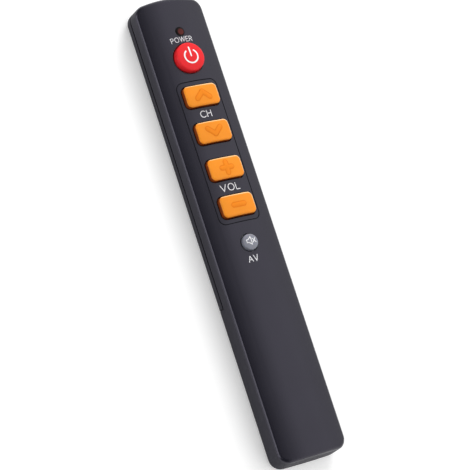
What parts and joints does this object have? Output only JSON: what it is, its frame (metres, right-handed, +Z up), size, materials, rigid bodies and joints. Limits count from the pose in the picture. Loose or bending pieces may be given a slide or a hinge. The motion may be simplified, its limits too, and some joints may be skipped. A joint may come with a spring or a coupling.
{
  "type": "remote control",
  "caption": "Long slim handheld universal remote control with a crowned front, large raised colour keys, a blank lower third and a sliding battery door on the back.",
  "frame": {"origin": "centre of the underside, on the surface the remote lies on", "axes": "+X to the right seen from above, +Y towards the head end with the power key, +Z up through the keys"},
  "size_m": [0.0328, 0.205, 0.0175],
  "materials": {
    "casing_plastic": "dark charcoal ABS with a fine satin texture",
    "red_key_plastic": "red key plastic with a soft sheen",
    "orange_key_plastic": "orange key plastic with a soft sheen",
    "grey_key_plastic": "grey key plastic with a soft sheen",
    "grey_rubber": "moulded silicone rubber",
    "carbon": "conductive carbon-filled rubber",
    "board_green": "glass-fibre board with green solder mask",
    "black_epoxy": "moulded epoxy",
    "bright_metal": "nickel plated sheet and wire",
    "steel": "zinc plated steel",
    "window_red": "dark red infrared-clear plastic",
    "lamp_red": "deep red clear plastic",
    "cell_jacket": "printed cell jacket",
    "clear_resin": "tinted lamp resin"
  },
  "bodies": {
    "casing": {"top_shell": "casing_plastic", "bottom_shell": "casing_plastic", "keypad_mat": "grey_rubber", "circuit_board": "board_green", "controller_chip": "black_epoxy", "crystal": "bright_metal", "capacitor": "black_epoxy", "infrared_emitter": "clear_resin", "infrared_receiver": "black_epoxy", "infrared_window": "window_red", "lamp_lens": "lamp_red", "indicator_lamp": "lamp_red", "left_cell": "cell_jacket", "right_cell": "cell_jacket", "positive_contact": "bright_metal", "negative_contact": "bright_metal", "link_contact": "bright_metal", "negative_spring": "bright_metal", "link_spring": "bright_metal", "case_screw_1": "steel", "case_screw_2": "steel", "case_screw_3": "steel", "case_screw_4": "steel", "board_screw_1": "steel", "board_screw_2": "steel", "board_screw_3": "steel", "board_screw_4": "steel", "power_dome": "grey_rubber", "channel_up_dome": "grey_rubber", "channel_down_dome": "grey_rubber", "volume_up_dome": "grey_rubber", "volume_down_dome": "grey_rubber", "mute_dome": "grey_rubber"},
    "battery_door": {"battery_door": "casing_plastic"},
    "power_key": {"power_key": "red_key_plastic", "power_pill": "carbon"},
    "channel_up_key": {"channel_up_key": "orange_key_plastic", "channel_up_pill": "carbon"},
    "channel_down_key": {"channel_down_key": "orange_key_plastic", "channel_down_pill": "carbon"},
    "volume_up_key": {"volume_up_key": "orange_key_plastic", "volume_up_pill": "carbon"},
    "volume_down_key": {"volume_down_key": "orange_key_plastic", "volume_down_pill": "carbon"},
    "mute_key": {"mute_key": "grey_key_plastic", "mute_pill": "carbon"}
  },
  "joints": [
    {"name": "power_press", "type": "slide", "parent": "casing", "child": "power_key", "axis": [0, 0, -1], "range_m": [0, 0.0009], "stiffness_N_per_m": 400, "springref_m": -0.0015, "deforming": ["power_dome"]},
    {"name": "channel_up_press", "type": "slide", "parent": "casing", "child": "channel_up_key", "axis": [0, 0, -1], "range_m": [0, 0.0009], "stiffness_N_per_m": 400, "springref_m": -0.0015, "deforming": ["channel_up_dome"]},
    {"name": "channel_down_press", "type": "slide", "parent": "casing", "child": "channel_down_key", "axis": [0, 0, -1], "range_m": [0, 0.0009], "stiffness_N_per_m": 400, "springref_m": -0.0015, "deforming": ["channel_down_dome"]},
    {"name": "volume_up_press", "type": "slide", "parent": "casing", "child": "volume_up_key", "axis": [0, 0, -1], "range_m": [0, 0.0009], "stiffness_N_per_m": 400, "springref_m": -0.0015, "deforming": ["volume_up_dome"]},
    {"name": "volume_down_press", "type": "slide", "parent": "casing", "child": "volume_down_key", "axis": [0, 0, -1], "range_m": [0, 0.0009], "stiffness_N_per_m": 400, "springref_m": -0.0015, "deforming": ["volume_down_dome"]},
    {"name": "mute_press", "type": "slide", "parent": "casing", "child": "mute_key", "axis": [0, 0, -1], "range_m": [0, 0.0009], "stiffness_N_per_m": 400, "springref_m": -0.0015, "deforming": ["mute_dome"]},
    {"name": "door_slide", "type": "slide", "parent": "casing", "child": "battery_door", "axis": [0, -1, 0], "range_m": [0, 0.045]}
  ]
}
